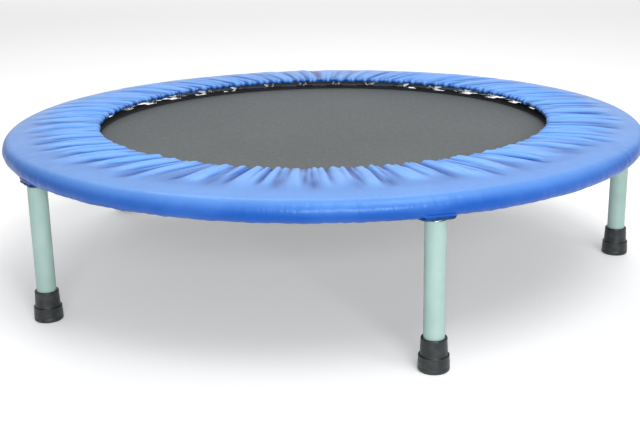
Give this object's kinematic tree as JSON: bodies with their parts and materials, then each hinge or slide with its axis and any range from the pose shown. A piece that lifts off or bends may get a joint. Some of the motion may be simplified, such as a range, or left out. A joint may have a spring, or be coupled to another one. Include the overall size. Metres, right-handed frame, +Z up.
{
  "type": "mini trampoline",
  "caption": "Round mini trampoline: sprung woven mat in a tubular ring with a padded blue spring cover, on short screw-in tube legs with rubber feet.",
  "frame": {"origin": "on the floor, under the middle of the mat", "axes": "+Z up; leg 1 stands towards -Y, and the other legs follow anticlockwise seen from above"},
  "size_m": [0.9258, 0.9266, 0.219],
  "materials": {
    "frame_paint": "black satin powder coat",
    "leg_paint": "satin powder coat",
    "zinc": "zinc plated",
    "mat_weave": "woven polypropylene",
    "webbing": "woven webbing",
    "pad_vinyl": "soft gloss vinyl sheet",
    "pad_backing": "coated backing sheet",
    "foam": "closed-cell foam",
    "elastic": "braided elastic",
    "foot_rubber": "matt black rubber"
  },
  "bodies": {
    "frame": {"frame_ring": "frame_paint", "leg_bosses": "frame_paint", "leg_studs": "zinc", "springs": "zinc", "pad_top": "pad_vinyl", "pad_skirt": "pad_vinyl", "skirt_hem": "pad_vinyl", "pad_foam": "foam", "pad_backing": "pad_backing", "inner_elastic": "elastic", "hem_elastic": "elastic"},
    "mat": {"jumping_mat": "mat_weave", "mat_hem": "webbing", "v_ring_tabs": "webbing", "v_rings": "zinc"},
    "washer_1": {"leg_washer_1": "zinc"},
    "leg_1": {"leg_tube_1": "leg_paint", "leg_plug_1": "zinc", "foot_1": "foot_rubber"},
    "washer_2": {"leg_washer_2": "zinc"},
    "leg_2": {"leg_tube_2": "leg_paint", "leg_plug_2": "zinc", "foot_2": "foot_rubber"},
    "washer_3": {"leg_washer_3": "zinc"},
    "leg_3": {"leg_tube_3": "leg_paint", "leg_plug_3": "zinc", "foot_3": "foot_rubber"},
    "washer_4": {"leg_washer_4": "zinc"},
    "leg_4": {"leg_tube_4": "leg_paint", "leg_plug_4": "zinc", "foot_4": "foot_rubber"},
    "washer_5": {"leg_washer_5": "zinc"},
    "leg_5": {"leg_tube_5": "leg_paint", "leg_plug_5": "zinc", "foot_5": "foot_rubber"}
  },
  "joints": [
    {"name": "mat_bounce", "type": "slide", "parent": "frame", "child": "mat", "axis": [0, 0, 1], "range_m": [-0.08, 0], "stiffness_N_per_m": 9000, "deforming": ["springs"]},
    {"name": "leg_1_travel", "type": "slide", "parent": "frame", "child": "washer_1", "axis": [0, 0, -1], "range_m": [0, 0.015]},
    {"name": "leg_1_screw", "type": "hinge", "parent": "washer_1", "child": "leg_1", "pos_m": [0, -0.4445, 0.18], "axis": [0, 0, -1], "range_deg": [0, 3600]},
    {"name": "leg_2_travel", "type": "slide", "parent": "frame", "child": "washer_2", "axis": [0, 0, -1], "range_m": [0, 0.015]},
    {"name": "leg_2_screw", "type": "hinge", "parent": "washer_2", "child": "leg_2", "pos_m": [0.42274, -0.13736, 0.18], "axis": [0, 0, -1], "range_deg": [0, 3600]},
    {"name": "leg_3_travel", "type": "slide", "parent": "frame", "child": "washer_3", "axis": [0, 0, -1], "range_m": [0, 0.015]},
    {"name": "leg_3_screw", "type": "hinge", "parent": "washer_3", "child": "leg_3", "pos_m": [0.26127, 0.35961, 0.18], "axis": [0, 0, -1], "range_deg": [0, 3600]},
    {"name": "leg_4_travel", "type": "slide", "parent": "frame", "child": "washer_4", "axis": [0, 0, -1], "range_m": [0, 0.015]},
    {"name": "leg_4_screw", "type": "hinge", "parent": "washer_4", "child": "leg_4", "pos_m": [-0.26127, 0.35961, 0.18], "axis": [0, 0, -1], "range_deg": [0, 3600]},
    {"name": "leg_5_travel", "type": "slide", "parent": "frame", "child": "washer_5", "axis": [0, 0, -1], "range_m": [0, 0.015]},
    {"name": "leg_5_screw", "type": "hinge", "parent": "washer_5", "child": "leg_5", "pos_m": [-0.42274, -0.13736, 0.18], "axis": [0, 0, -1], "range_deg": [0, 3600]}
  ],
  "couplings": [
    {"joint": "leg_1_screw", "follows": "leg_1_travel", "rad_per_m": 4188.8},
    {"joint": "leg_2_screw", "follows": "leg_2_travel", "rad_per_m": 4188.8},
    {"joint": "leg_3_screw", "follows": "leg_3_travel", "rad_per_m": 4188.8},
    {"joint": "leg_4_screw", "follows": "leg_4_travel", "rad_per_m": 4188.8},
    {"joint": "leg_5_screw", "follows": "leg_5_travel", "rad_per_m": 4188.8}
  ]
}
